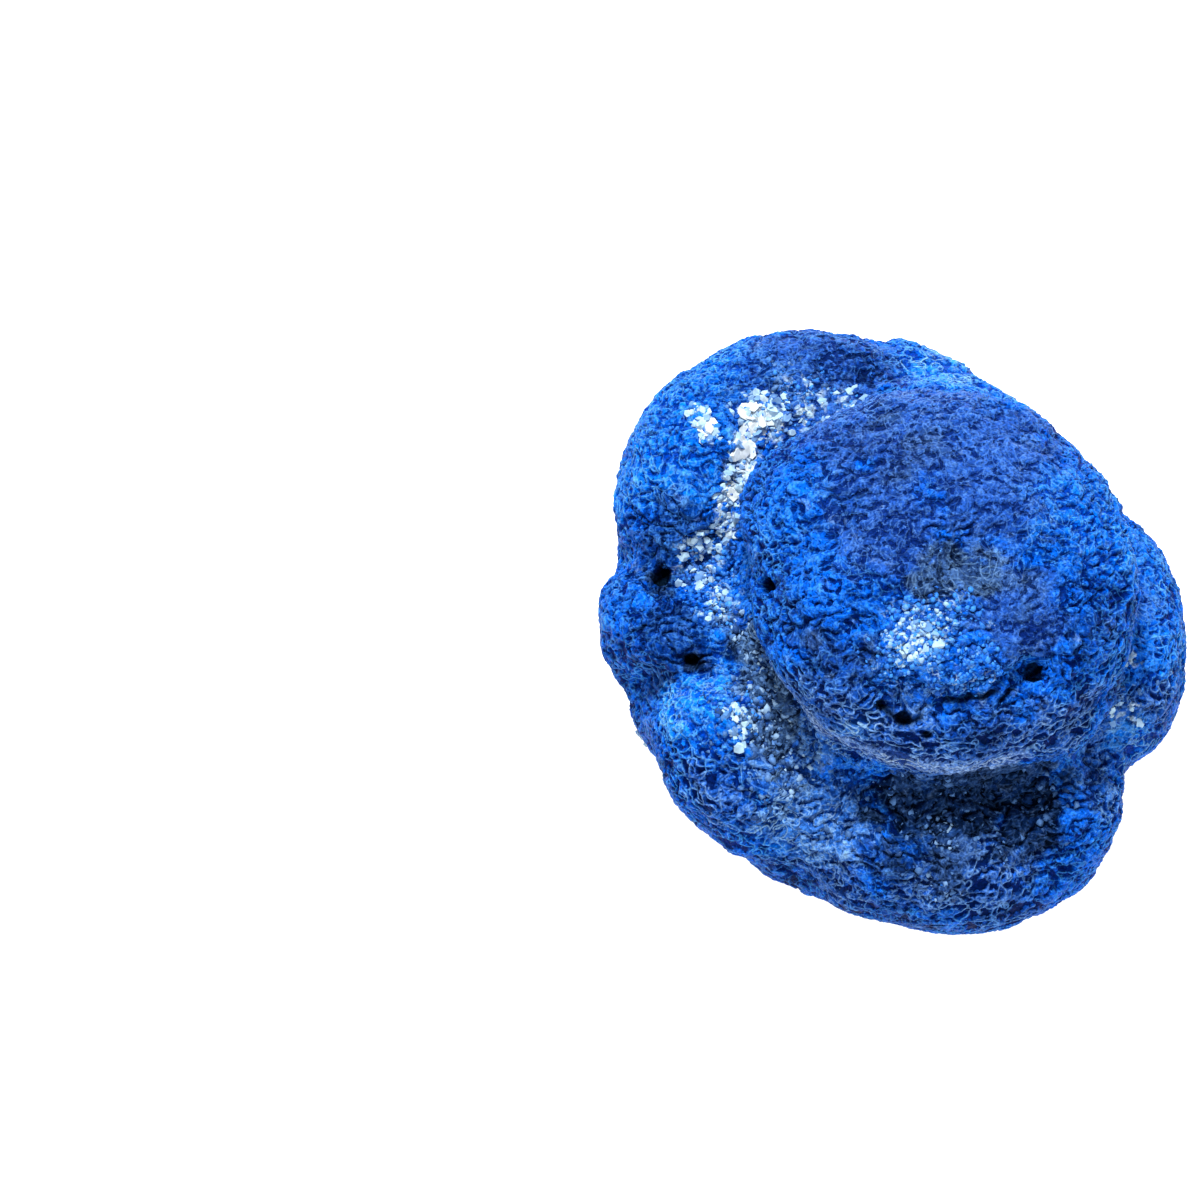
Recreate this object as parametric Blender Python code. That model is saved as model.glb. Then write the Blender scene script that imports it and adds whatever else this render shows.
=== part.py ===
"""Azurite nodule, about 50 x 51 x 33 mm: lobes of tiny azurite crystals grown together in one stone.

One solid, in its resting frame: x across, y to the back, z up, the origin under its middle.
Lobes are ellipsoids that overlap. They are fused into one skin, which is swollen, roughened with
crystal lumps, pressed in along creases and at hollows, and flattened where the stone rests.
"""

import math

import bmesh
import bpy
from mathutils import Euler, Matrix, Vector, noise
from mathutils.geometry import intersect_point_line

MM = 0.001

# Millimetres and degrees from here on. z = 0 is the body's middle, this far above the floor.
REST_HEIGHT = 11.0

# Each lobe: centre, radii and turn. The knob's lobes stand on the body's.
LOBES = {
    "core": ((0.5, 0.5, 0.0), (21.0, 21.5, 11.6), (0, 0, 0)),
    "brow": ((-6.4, 16.8, 1.5), (12.0, 8.4, 8.0), (0, 0, 0)),
    "brow_end": ((0.6, 17.8, 0.5), (6.6, 6.9, 7.0), (0, 0, -10)),
    "shoulder": ((6.2, 11.2, 2.5), (13.0, 8.2, 8.2), (0, 0, -40)),
    "upper_left": ((-15.3, 12.0, 2.0), (7.3, 10.4, 7.8), (0, 0, -16)),
    "left": ((-18.6, 0.0, 1.5), (5.9, 6.6, 6.6), (0, 0, 0)),
    "left_web": ((-17.3, 6.3, -0.5), (5.9, 4.4, 6.0), (0, 0, 0)),
    "left_back": ((-15.6, -5.4, -2.0), (6.2, 7.0, 6.0), (0, 0, 10)),
    "lower_left": ((-12.3, -10.1, 2.0), (7.6, 9.7, 7.6), (0, 0, 30)),
    "slope": ((-4.5, -16.4, -1.0), (8.8, 6.7, 7.5), (0, 0, -12)),
    "foot": ((4.3, -17.3, 0.0), (12.7, 8.3, 8.4), (0, 0, 3)),
    "foot_rim": ((13.0, -15.4, 0.5), (6.2, 7.6, 8.0), (0, 0, -20)),
    "right": ((18.2, -1.7, 1.0), (6.2, 11.0, 8.5), (0, 0, 3)),
    "neck": ((5.0, 10.5, 6.5), (11.5, 8.0, 7.5), (0, 0, -35)),
    "knob": ((3.6, 1.1, 12.0), (15.8, 15.9, 9.6), (0, 0, 0)),
    "knob_left": ((-5.8, 5.0, 12.5), (7.0, 8.0, 7.2), (0, 0, 30)),
    "knob_right": ((13.2, 2.0, 11.5), (6.2, 8.6, 7.2), (0, 0, 10)),
    "knob_skirt": ((5.1, -6.3, 8.8), (12.8, 9.4, 6.4), (4, 0, -4)),
}

# Creases between lobes and folds in them: the line each follows, its width and its depth.
CREASES = {
    "left_valley": (
        [(-4.5, 18.5, 8.6), (-10.5, 14.2, 8.2), (-12.7, 9.8, 8.0), (-14.3, 5.0, 7.5), (-13.6, 0.0, 8.5),
         (-12.2, -4.5, 10.0), (-9.8, -8.5, 9.3), (-8.0, -14.0, 8.4)],
        2.6, 1.1,
    ),
    "left_step": ([(-22.0, -5.0, 2.0), (-19.6, -7.2, 6.0), (-16.7, -6.4, 8.0), (-14.0, -5.2, 9.2)], 1.7, 1.3),
    "left_notch": ([(-22.8, 5.4, 2.0), (-20.9, 4.7, 5.1), (-18.6, 3.4, 6.8), (-15.9, 3.6, 6.8)], 1.8, 1.2),
    "right_valley": ([(20.0, 7.0, 8.0), (20.4, 0.0, 9.0), (19.0, -6.0, 8.6), (15.6, -12.0, 6.0)], 2.0, 0.9),
    "knob_fold": (
        [(-4.3, -5.6, 18.6), (-1.9, -9.4, 17.5), (0.1, -10.8, 16.9), (2.6, -11.6, 16.5), (5.6, -10.3, 17.7),
         (10.2, -8.1, 18.0)],
        1.7, 1.0,
    ),
    "underside_furrow": (
        [(-10.0, -11.5, -9.5), (-12.5, -4.7, -9.5), (-14.3, -0.1, -8.8), (-16.0, 4.5, -7.5), (-19.0, 8.8, -5.5)],
        4.5, 1.8,
    ),
}

# Hollows and pits: centre, radii and depth.
HOLLOWS = {
    "knob_dip": ((5.8, 0.9, 20.0), (7.0, 4.2, 8.0), 1.5),
    "under_knob": ((6.5, -15.2, 7.6), (11.0, 4.4, 4.5), 1.6),
    "left_cave": ((-19.2, 2.6, 6.7), (2.6, 1.8, 3.0), 1.5),
    "left_pit": ((-16.6, -5.4, 8.0), (1.8, 1.8, 2.0), 1.2),
    "knob_pit_right": ((10.2, -8.1, 18.0), (1.9, 1.9, 2.4), 2.2),
    "knob_pit_left": ((-10.7, -0.3, 15.7), (1.7, 1.7, 2.4), 1.8),
    "underside_dip": ((-6.4, -8.3, -10.5), (4.0, 2.6, 4.0), 0.9),
}

# Smooth noise that swells the skin: wavelength and height of each layer.
SWELLS = ((14.0, 0.9), (6.0, 0.5))

# Crystal lumps: how far apart they stand, how high, and how steep their edges are.
LUMP_SPACING = 2.8
LUMP_HEIGHT = 0.5
LUMP_EDGE = 2.2

FUSE_VOXEL = 0.6
SOFTEN_STEPS = 8
TRIANGLES = 9400

AZURE = (0.016, 0.085, 0.42, 1.0)


def add_lobe(bm, centre, radii, turn):
    place = Matrix.Translation(Vector(centre) * MM)
    facing = Euler([math.radians(angle) for angle in turn]).to_matrix().to_4x4()
    size = Matrix.Diagonal(Vector(radii) * MM).to_4x4()
    bmesh.ops.create_icosphere(bm, subdivisions=5, radius=1.0, matrix=place @ facing @ size)


def make_lobes():
    """One object that holds every lobe, still separate."""
    bm = bmesh.new()
    for lobe in LOBES.values():
        add_lobe(bm, *lobe)
    mesh = bpy.data.meshes.new("azurite_nodule")
    bm.to_mesh(mesh)
    bm.free()
    nodule = bpy.data.objects.new("azurite_nodule", mesh)
    bpy.context.scene.collection.objects.link(nodule)
    return nodule


def keep_modified_mesh(obj):
    """Gives the object the mesh that its modifiers make."""
    graph = bpy.context.evaluated_depsgraph_get()
    obj.data = bpy.data.meshes.new_from_object(obj.evaluated_get(graph))
    obj.modifiers.clear()


def fuse(obj):
    """Makes the overlapping lobes one closed skin, and rounds the creases where they meet."""
    remesh = obj.modifiers.new("fuse", "REMESH")
    remesh.mode = "VOXEL"
    remesh.voxel_size = FUSE_VOXEL * MM
    remesh.adaptivity = 0
    soften = obj.modifiers.new("soften", "SMOOTH")
    soften.iterations = SOFTEN_STEPS
    soften.factor = 0.5
    keep_modified_mesh(obj)


def thin_out(obj):
    """Leaves few enough faces for a faceted solid."""
    now = sum(len(face.vertices) - 2 for face in obj.data.polygons)
    thin = obj.modifiers.new("thin", "DECIMATE")
    thin.ratio = TRIANGLES / now
    keep_modified_mesh(obj)


def swell_at(place):
    height = 0.0
    for layer, (wavelength, size) in enumerate(SWELLS):
        shift = Vector((7.3 * layer, 1.7, 3.1 * layer))
        height += size * noise.noise(place / wavelength + shift)
    return height


def lump_at(place):
    """Rounded lumps, one to a cell of a Voronoi pattern, with narrow creases between them."""
    nearest, second = noise.voronoi(place / LUMP_SPACING)[0][:2]
    return LUMP_HEIGHT * (min(1.0, LUMP_EDGE * (second - nearest)) - 0.5)


def distance_to_line(place, points):
    shortest = math.inf
    for start, end in zip(points, points[1:]):
        foot, along = intersect_point_line(place, Vector(start), Vector(end))
        if along < 0:
            foot = Vector(start)
        elif along > 1:
            foot = Vector(end)
        shortest = min(shortest, (place - foot).length)
    return shortest


def crease_at(place):
    height = 0.0
    for points, width, depth in CREASES.values():
        height -= depth * math.exp(-((distance_to_line(place, points) / width) ** 2))
    return height


def hollow_at(place):
    height = 0.0
    for centre, radii, depth in HOLLOWS.values():
        offset = place - Vector(centre)
        reach = sum((along / radius) ** 2 for along, radius in zip(offset, radii))
        if reach < 1:
            height -= depth * (1 - reach) ** 2
    return height


def push_out(mesh, height_at):
    """Moves each vertex along its normal by the height that this function gives for its place."""
    normals = [vert.normal.copy() for vert in mesh.vertices]
    for vert, normal in zip(mesh.vertices, normals):
        vert.co += normal * height_at(vert.co / MM) * MM
    mesh.update()


def rest_on_floor(mesh):
    """Lifts the stone to its resting height, presses flat what would be lower than the floor, and
    centres it over the origin."""
    for vert in mesh.vertices:
        vert.co.z = max(vert.co.z + REST_HEIGHT * MM, 0.0)
    for axis in (0, 1):
        values = [vert.co[axis] for vert in mesh.vertices]
        middle = (min(values) + max(values)) / 2
        for vert in mesh.vertices:
            vert.co[axis] -= middle
    mesh.update()


def azurite():
    material = bpy.data.materials.new("azurite")
    material.use_nodes = True
    shader = material.node_tree.nodes["Principled BSDF"]
    shader.inputs["Base Color"].default_value = AZURE
    shader.inputs["Roughness"].default_value = 0.55
    shader.inputs["Metallic"].default_value = 0.0
    return material


def main():
    for obj in list(bpy.data.objects):
        bpy.data.objects.remove(obj)
    nodule = make_lobes()
    fuse(nodule)
    for height_at in (swell_at, crease_at, hollow_at, lump_at):
        push_out(nodule.data, height_at)
    thin_out(nodule)
    rest_on_floor(nodule.data)
    nodule.data.materials.clear()
    nodule.data.materials.append(azurite())


main()
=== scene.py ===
"""The azurite nodule's looks: a crust of tiny grown-together crystals over the CAD solid, with pale
crystals in its valleys, on a white floor. Lengths are millimetres, in the row's frame but with
z = 0 at the body's middle, until they are given to Blender in metres."""

import itertools
import math

import bpy
import numpy as np
from mathutils import Euler, Matrix, Vector


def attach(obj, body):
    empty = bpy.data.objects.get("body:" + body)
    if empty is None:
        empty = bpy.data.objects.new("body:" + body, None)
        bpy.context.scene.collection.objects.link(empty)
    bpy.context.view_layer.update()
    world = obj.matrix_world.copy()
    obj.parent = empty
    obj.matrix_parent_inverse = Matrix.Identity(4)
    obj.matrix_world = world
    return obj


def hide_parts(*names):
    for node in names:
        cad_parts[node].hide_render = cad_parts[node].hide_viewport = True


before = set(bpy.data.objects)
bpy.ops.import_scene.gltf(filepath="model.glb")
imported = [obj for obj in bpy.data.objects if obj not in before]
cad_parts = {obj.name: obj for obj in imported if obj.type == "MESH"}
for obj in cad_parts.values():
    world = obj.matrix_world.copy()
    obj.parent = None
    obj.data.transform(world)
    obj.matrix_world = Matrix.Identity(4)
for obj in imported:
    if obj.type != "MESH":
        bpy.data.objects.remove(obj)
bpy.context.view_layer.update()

MM = 0.001
NODE = "azurite_nodule"
BODY = "root"
MIDDLE = np.array([0.0, 0.0, 11.0])  # the body's middle in the row's frame

# The photograph: its side in pixels, the pixel of the nodule's middle, and how it was taken.
PHOTO_SIDE = 1200
NODULE_PIXEL = (890, 631)
PHOTO_WIDTH = 100.0  # what the frame spans at the nodule
ELEVATION = 75.0
LENS = 150.0
SENSOR = 36.0

# The crust's mesh: the form's voxels, how much it is rounded off, and how finely it is then divided.
FORM_VOXEL = 0.585
FORM_SMOOTHING = 12
FORM_LEVELS = 2

# Colours as the photograph's light shows them, in sRGB bytes, and how much darker the stone itself is.
# On the crust, each tint's gap colour is painted shade for its dark gaps, and its crest colour is painted
# highlight for its crests, pale threads and flecks. On crystals the three only span their random tone.
SHADE = 0.48
AZURE = {"gap": (0, 30, 112), "mid": (3, 101, 238), "crest": (66, 158, 252)}
BRIGHT = {"gap": (0, 68, 198), "mid": (5, 127, 251), "crest": (112, 193, 250)}
GLOW = {"gap": (2, 88, 224), "mid": (24, 146, 255), "crest": (136, 206, 253)}
VIOLET = {"gap": (8, 36, 112), "mid": (38, 87, 182), "crest": (92, 146, 228)}
NAVY = {"gap": (1, 16, 68), "mid": (6, 58, 152), "crest": (70, 142, 230)}
SLATE = {"gap": (14, 32, 74), "mid": (46, 80, 142), "crest": (92, 134, 200)}
LAVENDER = {"gap": (2, 24, 90), "mid": (36, 92, 190), "crest": (130, 178, 242)}
HAZE = {"gap": (6, 54, 138), "mid": (62, 128, 224), "crest": (158, 206, 248)}
GREY = {"gap": (14, 30, 60), "mid": (56, 86, 130), "crest": (116, 154, 198)}
# Painted shade for the hollow under the knob and the dark crevices.
HOLLOW_SHADE = {"gap": (0, 2, 12), "mid": (13, 34, 76), "crest": (68, 106, 166)}
SKY = {"gap": (4, 64, 172), "mid": (62, 146, 242), "crest": (208, 240, 253)}
MILK = {"gap": (70, 132, 210), "mid": (186, 222, 247), "crest": (248, 253, 253)}
WHITE = {"gap": (190, 218, 242), "mid": (232, 246, 251), "crest": (240, 250, 252)}
RIM = {"gap": (34, 66, 144), "mid": (106, 150, 226), "crest": (174, 206, 248)}
DULL = {"gap": (22, 54, 112), "mid": (84, 128, 190), "crest": (164, 200, 234)}

# Soft zones of colour, each a list of (x, y, z, radius). A fifth number is the most that a spot counts
# for, where that is under 1.
BRIGHT_SPOTS = [
    (-20.5, 14.3, 7.0, 7.5, 0.85), (-18.0, 19.0, 5.0, 6.5, 0.85), (-15.5, -7.6, 9.0, 5.0),
    (-13.5, -8.6, 10.0, 3.6), (-16.8, -7.4, 8.0, 4.0), (5.0, 21.0, 6.0, 5.5), (12.5, 17.5, 6.0, 6.0),
    (21.6, 4.5, 6.0, 4.0, 0.6), (-22.6, 1.5, 6.0, 3.5, 0.4), (15.0, 4.5, 18.0, 5.5, 0.75),
    (-9.7, 5.0, 18.5, 4.0, 0.4), (21.5, -3.0, 6.0, 5.0, 0.5), (0.0, 0.0, -12.0, 17.0),
    (10.0, 10.0, -9.0, 12.0), (-8.8, -19.6, 4.6, 2.4, 0.8), (19.8, -10.4, 4.6, 2.4, 0.7),
]
GLOW_SPOTS = [
    (-18.4, -6.8, 4.6, 2.2), (-16.4, -7.4, 7.4, 2.6), (-14.4, -7.2, 8.8, 2.2), (5.0, 21.0, 5.8, 3.4, 0.6),
]
VIOLET_SPOTS = [
    (2.4, 11.8, 18.5, 7.0), (7.8, 9.0, 19.5, 7.0), (-2.5, 13.5, 16.5, 6.0), (8.6, -3.2, 20.0, 3.8),
    (-2.0, 4.0, 20.0, 5.0), (-7.0, 20.0, 8.5, 6.5), (0.0, 21.0, 7.0, 4.5), (21.0, 1.0, 9.5, 3.0),
]
SLATE_SPOTS = [
    (0.2, 9.5, 19.2, 3.4, 0.55), (-1.5, 13.0, 17.5, 2.4, 0.6), (9.5, -1.5, 19.8, 2.4, 0.5),
    (-3.8, -7.1, 18.0, 2.0, 0.6), (-6.9, -6.9, 17.1, 2.0, 0.5), (4.4, -20.8, 7.0, 2.6, 0.8),
]
# Painted grey shade in the dent on the knob's top.
DENT_SHADE_SPOTS = [
    (3.6, 0.8, 20.1, 2.0), (6.0, -0.6, 20.1, 2.2, 0.9), (8.0, -1.4, 20.0, 1.4, 0.7),
    (2.4, -0.9, 20.5, 2.0, 0.9), (3.6, -2.0, 20.4, 1.3, 0.5),
]
LAVENDER_SPOTS = [
    (-5.8, -11.0, 14.5, 4.6), (-0.2, -13.4, 13.6, 5.0), (6.5, -13.8, 12.5, 4.6), (12.5, -11.2, 13.0, 4.2),
    (-6.0, -20.5, 4.0, 4.5), (-14.5, -15.0, 7.0, 4.0, 0.6), (6.5, -22.0, 5.8, 5.5), (19.0, -9.0, 6.0, 4.0),
    (2.0, -22.5, 5.4, 3.0, 0.9),
]
HAZE_SPOTS = [
    (-7.2, -17.8, 6.2, 4.2), (-10.0, -14.0, 7.6, 2.8, 0.8), (4.0, -20.6, 7.0, 3.2, 0.4),
    (-9.0, 19.0, 8.0, 3.0, 0.4), (5.0, 21.0, 5.6, 4.0, 0.8), (-14.4, -6.2, 8.0, 1.6, 0.8),
    (-4.4, -18.6, 6.3, 3.2, 0.7), (-6.7, -11.6, 8.8, 2.2, 0.8), (-3.6, -12.4, 13.2, 2.2, 0.8),
    (2.6, -10.1, 17.0, 1.8, 0.35), (16.4, -14.4, 6.2, 2.4, 0.6), (8.9, -7.0, 17.8, 1.6, 0.4),
    (-0.6, -9.6, 16.8, 1.8, 0.4),
]
# Darker blue. The last three spots, round the foot's lower edge, are painted shade on its steep sides.
NAVY_SPOTS = [
    (-17.5, 5.8, 8.0, 3.8), (-18.6, -2.2, 8.0, 3.2), (-21.0, 5.0, 7.0, 3.0), (-12.6, 19.6, 8.0, 2.8, 0.4),
    (-2.0, 20.8, 7.4, 3.0), (-7.5, 22.0, 7.0, 4.0, 0.5), (-16.4, -4.6, 7.2, 1.7),
    (-18.6, -4.6, 6.0, 1.6, 0.9), (-20.4, -4.7, 3.2, 1.7), (-4.6, -7.6, 17.6, 2.6, 0.6),
    (-7.0, -7.2, 16.8, 2.6, 0.7), (-4.0, -10.2, 16.2, 2.2, 0.5), (-0.2, -20.8, 6.3, 2.4, 0.8),
    (5.8, -12.4, 15.6, 2.2, 0.7), (5.8, -10.1, 16.8, 2.2, 0.5), (9.0, -10.0, 16.5, 2.0, 0.5),
    (15.4, -5.2, 17.2, 3.0, 0.6), (-3.7, 5.7, 19.4, 2.4, 0.45), (-6.6, 9.4, 17.4, 2.4, 0.35),
    (-3.6, 14.0, 16.8, 2.4, 0.4), (12.2, -0.8, 19.0, 2.2, 0.45), (-8.2, -3.5, 16.9, 2.2, 0.5),
    (18.0, -6.5, 9.0, 2.6, 0.6), (8.0, -24.5, 1.5, 4.0, 0.5), (0.0, -24.0, 0.5, 4.0, 0.7),
    (-9.0, -21.5, 0.0, 4.0, 0.6),
]
# The hollow under the knob and dark crevices, painted in shade.
HOLLOW_SHADE_SPOTS = [
    (5.0, -16.0, 7.4, 4.6), (10.2, -15.4, 6.8, 3.9), (0.5, -16.0, 7.5, 3.0), (-0.2, -17.6, 7.7, 2.0, 0.6),
    (2.5, -20.2, 7.2, 2.6, 0.55), (-16.4, -4.6, 6.8, 1.1, 0.8), (-13.4, -4.0, 8.0, 0.9, 0.8),
    (-19.0, 2.7, 6.0, 1.6, 0.8), (10.5, -19.0, 6.5, 3.0), (4.0, -18.8, 7.2, 3.0, 0.45),
]
GREY_SPOTS = [
    (-11.2, -6.6, 8.8, 2.2), (-10.4, -10.2, 8.8, 2.2), (-8.7, -14.0, 7.8, 1.8, 0.6),
    (-12.0, -3.2, 8.4, 1.6), (-16.2, 3.0, 5.2, 1.6, 0.6), (-13.4, -0.4, 7.6, 1.6, 0.6),
]

# Places of pale crystals. In this list and the next three, a fifth number says how thickly they stand.
MILK_SPOTS = [
    (-10.5, 16.0, 8.3, 2.2, 0.45), (-12.3, 13.0, 8.1, 1.9, 0.4), (-11.6, 11.5, 8.2, 1.6, 0.5),
    (-12.8, 9.9, 8.0, 1.5, 0.7), (-14.1, 9.0, 8.0, 1.1, 0.5), (-13.7, 7.2, 7.2, 1.1, 0.5),
    (-15.9, 5.2, 5.8, 1.5, 0.4), (-16.2, 3.0, 5.4, 1.4, 0.35), (-14.7, 0.9, 6.6, 1.4, 0.25),
    (-13.5, -1.2, 7.5, 1.2, 0.2), (-16.2, 16.0, 9.4, 1.0, 0.35), (-15.5, 14.3, 9.7, 1.1, 0.3),
    (-7.6, 17.0, 8.3, 2.2, 0.26), (-3.9, 17.6, 8.3, 1.3, 0.15), (-13.2, -9.5, 10.0, 1.0, 0.4),
    (-12.8, -11.2, 9.4, 0.9, 0.3), (1.0, -5.6, 20.0, 1.9, 0.3), (18.3, -8.8, 6.8, 1.3, 0.2),
    (18.6, -4.6, 8.8, 1.2, 0.12), (8.0, -12.8, -9.0, 2.2, 0.8), (11.0, -12.6, -8.5, 1.6, 0.6),
    (-14.8, -5.0, -8.8, 2.4, 0.7), (-20.5, -8.0, -4.0, 1.5, 0.5), (13.7, 10.0, -8.5, 1.6, 0.4),
]

# Patches where white crystals have grown together.
WHITE_SPOTS = [
    (-11.8, 16.5, 8.3, 0.9), (-10.5, 16.5, 8.3, 0.8), (-9.6, 15.3, 8.3, 0.7, 0.8), (-11.0, 15.4, 8.2, 0.9),
    (-12.4, 13.2, 8.1, 1.0), (-11.7, 11.7, 8.1, 1.0), (-15.5, 14.7, 9.7, 0.6, 0.4),
    (-13.4, 10.0, 8.0, 0.7, 0.7), (8.0, -12.8, -9.0, 1.4), (-14.8, -5.0, -8.8, 1.5),
]

# Places of round blue and white beads.
BEAD_SPOTS = [
    (1.2, -5.8, 20.0, 2.8, 0.9), (2.8, -4.6, 20.3, 2.0, 0.8), (5.0, -4.6, 20.1, 2.2, 0.25),
    (-1.4, -7.2, 19.0, 2.2, 0.45), (4.6, -7.8, 19.0, 2.6, 0.5), (-12.8, -8.4, 10.2, 2.2, 0.4),
    (-14.4, 1.6, 7.0, 2.4, 0.5), (-16.0, 4.4, 6.0, 2.4, 0.35), (-7.0, 17.6, 8.4, 3.0, 0.2),
]

# Places of dull blue-grey crystals.
DULL_SPOTS = [
    (4.0, -19.4, 7.4, 1.6, 0.6), (2.4, -22.8, 5.2, 2.2, 0.4), (8.2, -20.2, 7.0, 1.6, 0.3),
    (-11.2, -6.6, 8.8, 2.4, 0.7), (-10.4, -10.2, 8.8, 2.4, 0.7), (-8.7, -14.0, 7.8, 2.4, 0.6),
    (-12.0, -3.2, 8.4, 1.8, 0.6), (1.0, -17.0, 7.5, 3.0, 0.25), (5.2, -18.6, 7.6, 3.6, 0.2),
    (11.0, -16.4, 6.8, 3.6, 0.15), (7.4, -18.9, 7.6, 1.6, 0.25), (-8.5, 19.0, 8.4, 2.4, 0.35),
    (19.4, -7.0, 7.4, 2.2, 0.25), (-14.6, -10.6, 9.0, 2.6, 0.2), (-9.4, -15.6, 7.2, 2.6, 0.35),
    (-6.5, -19.0, 5.6, 2.4, 0.15),
]

# The knob's drooping skirt, where ribs run along it, and the pale hem under it: a line, and its width.
SKIRT_SPOTS = [
    (-7.5, -8.5, 14.0, 3.6), (-4.0, -11.6, 13.6, 3.8), (0.0, -13.4, 13.0, 4.0), (4.5, -14.0, 12.4, 4.0),
    (9.5, -12.8, 12.4, 4.0), (13.8, -10.2, 12.8, 3.6), (16.5, -6.5, 13.6, 3.2),
    (-12.2, 3.0, 12.5, 2.6, 0.7), (-11.2, -2.5, 12.5, 2.8, 0.8), (-9.6, -6.2, 13.0, 2.8, 0.9),
]
RIM_LINE = [
    (-10.6, -6.4, 11.6), (-8.0, -9.8, 11.8), (-5.4, -11.8, 11.8), (-3.0, -12.9, 12.0), (0.0, -14.1, 12.4),
    (3.2, -14.5, 12.0), (6.5, -14.4, 11.4), (9.3, -13.8, 11.6),
]
RIM_WIDTH = 1.2

# Where long threads cross like a net.
LACE_SPOTS = [
    (-16.5, -14.5, 5.5, 4.4, 0.9), (-10.0, -19.0, 5.0, 5.0, 0.35), (-20.5, 11.0, 6.5, 4.5, 0.5),
    (5.0, 21.5, 5.5, 5.0, 0.8), (8.0, -22.5, 5.6, 5.0, 0.7), (20.5, -5.0, 8.0, 4.0, 0.7),
]

# Pits with sharp rims: (x, y, z, radius, depth). One is shallow because the solid has its hollow already.
PITS = [
    (-10.6, 0.0, 14.6, 0.85, 1.3), (10.4, -7.7, 16.3, 1.0, 0.2), (0.0, -11.5, 15.8, 0.85, 1.0),
    (1.9, -12.6, 15.2, 0.6, 0.6), (-1.8, -10.4, 16.3, 0.5, 0.5), (-16.8, -4.3, 7.0, 0.7, 0.9),
    (-19.2, 3.4, 5.3, 0.9, 1.1), (21.4, 2.2, 8.0, 0.5, 0.7), (-7.5, 4.4, 18.8, 0.4, 0.6),
    (3.0, 2.2, 20.0, 0.5, 0.6),
]

# Broad swellings of the whole crust, and hollows where the rise is under 0: (x, y, z, radius, rise).
SWELLS = [
    (5.4, 21.0, 4.0, 3.0, 0.8), (0.4, 24.1, 3.0, 3.0, 0.4), (-8.8, 24.5, 4.0, 3.0, 0.4),
    (-22.6, 7.9, 3.0, 3.0, 0.4), (-19.6, -4.5, 4.4, 1.3, -0.4), (-17.6, -4.6, 6.4, 1.2, -0.3),
    (-17.4, -7.2, 6.6, 1.8, 0.3), (-21.8, -6.2, 1.0, 2.6, 0.8), (-22.6, -4.0, 1.0, 2.6, 0.2),
    (-12.9, -19.0, 1.4, 2.6, 0.5), (-8.0, -21.1, 1.2, 2.4, -0.6), (-4.3, -22.9, -0.3, 2.6, 0.7),
    (12.6, -22.9, 0.4, 3.0, 0.5), (14.5, -21.8, -0.2, 3.0, 0.3), (-16.2, -16.8, 3.2, 2.4, -0.4),
]

# Sharp folds: the points that each follows, its width and its depth.
CRACKS = [
    (((-1.8, -10.4, 16.2), (-0.8, -11.1, 15.8), (0.0, -11.6, 15.7), (1.2, -11.3, 15.9)), 0.30, 0.6),
    (((3.3, -10.2, 16.9), (5.4, -9.9, 17.1), (7.0, -9.6, 17.0)), 0.24, 0.6),
    (((8.7, -9.1, 16.9), (7.7, -10.1, 16.8)), 0.26, 0.6),
    (((-3.6, -6.6, 18.2), (-1.0, -7.0, 18.6), (1.6, -7.6, 18.6)), 0.16, 0.3),
    (((-2.2, -8.4, 17.6), (0.8, -8.6, 17.8), (3.8, -8.5, 18.0)), 0.16, 0.3),
]

# The crust's pieces, each the part of it nearest to one of these places, because a piece holds only so
# many faces. Each is closed behind by faces to the nodule's heart.
REGIONS = {
    "crust_knob": (3.6, 1.0, 22.0), "crust_brow": (-6.0, 24.0, 2.0), "crust_left": (-22.0, -2.0, 3.0),
    "crust_foot": (4.0, -24.0, 2.0), "crust_right": (24.0, 2.0, 2.0), "crust_underside": (0.0, 0.0, -14.0),
}
HEART = (0.5, 0.5, 0.0)

# Threads over the crust: the upright axes that they wind round and the radii at which their lengths are
# true, and their wavelengths on flat crust, on the skirt, on the sides and where they curl singly.
KNOB_AXIS, KNOB_RADIUS = (3.6, 1.1), 14.0
BODY_AXIS, BODY_RADIUS = (0.0, 0.0), 22.0
FLAT_WAVE, SKIRT_WAVE, SIDE_WAVE, CURL_WAVE = 0.75, 0.62, 0.68, 0.52

# How thickly threads cover the crust, from 0 to 1: everywhere, what steep sides add, how much it varies,
# on the skirt, and the share that is lost in the hollows painted in shade.
LACE_LEAST, LACE_STEEP, LACE_VARIES, LACE_SKIRT, LACE_LOST = 0.10, 0.48, 0.35, 0.85, 0.75

# How far soft noise moves places about, so that patterns wind: reach, wavelength and seed of each layer.
CRUST_BENDS = ((0.5, 2.6, 11), (0.26, 0.9, 14))
ZONE_BENDS = ((1.2, 3.6, 81), (0.5, 1.1, 84))

# The sizes of the crust's grains and lumps, and the wavelengths of its fine and broad folds.
GRAIN_SIZE, LUMP_SIZE = 0.6, 1.5
FINE_WAVE, BROAD_WAVE = 0.46, 1.1

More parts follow.
